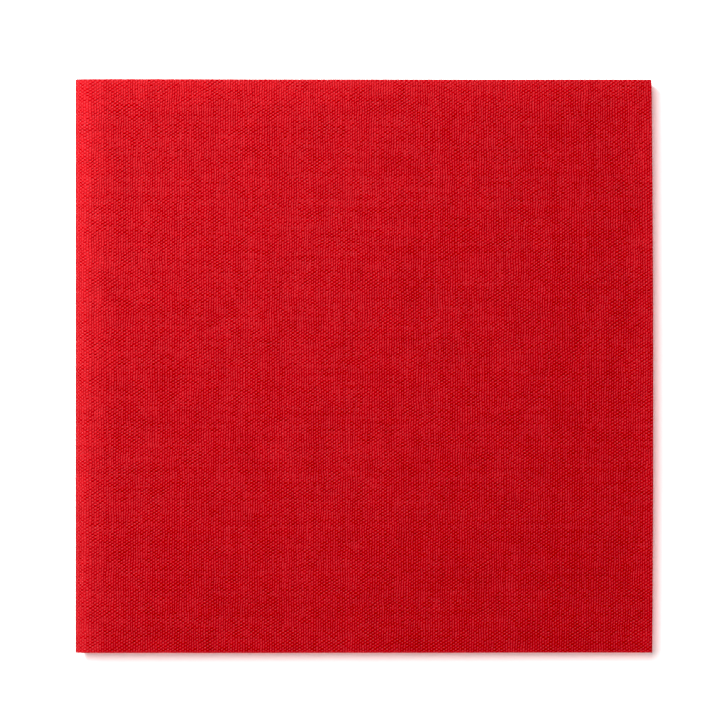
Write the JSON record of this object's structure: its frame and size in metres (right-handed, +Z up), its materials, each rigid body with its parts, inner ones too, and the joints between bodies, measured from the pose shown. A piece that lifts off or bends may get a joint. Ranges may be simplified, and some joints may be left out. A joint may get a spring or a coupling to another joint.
{
  "type": "fabric bolt",
  "caption": "Small flat bolt of red canvas, folded double lengthwise and wound on a corrugated board, with a free end that lifts.",
  "frame": {"origin": "on the surface that the bolt lies on, under the middle of the bolt", "axes": "+Z up through the bolt, +X towards the side where the cloth's free end lies, +Y along the winding axis towards the end with the lengthwise fold"},
  "size_m": [0.2, 0.199, 0.0114],
  "materials": {
    "red_canvas": "matte plain weave",
    "board_liner": "matte brown board",
    "board_fluting": "matte brown paper"
  },
  "bodies": {
    "winding": {"cloth_inner_end": "red_canvas", "cloth_turn_1": "red_canvas", "cloth_turn_2": "red_canvas", "cloth_outer_turn": "red_canvas"},
    "board": {"board_front_liner": "board_liner", "board_fluting": "board_fluting", "board_back_liner": "board_liner"},
    "free_end": {"cloth_free_end": "red_canvas"}
  },
  "joints": [
    {"name": "free_end_lift", "type": "hinge", "parent": "winding", "child": "free_end", "pos_m": [-0.09842, 0, 0.0057], "axis": [0, -1, 0], "range_deg": [0, 179]},
    {"name": "board_slide", "type": "slide", "parent": "winding", "child": "board", "axis": [0, -1, 0], "range_m": [0, 0.16]}
  ]
}
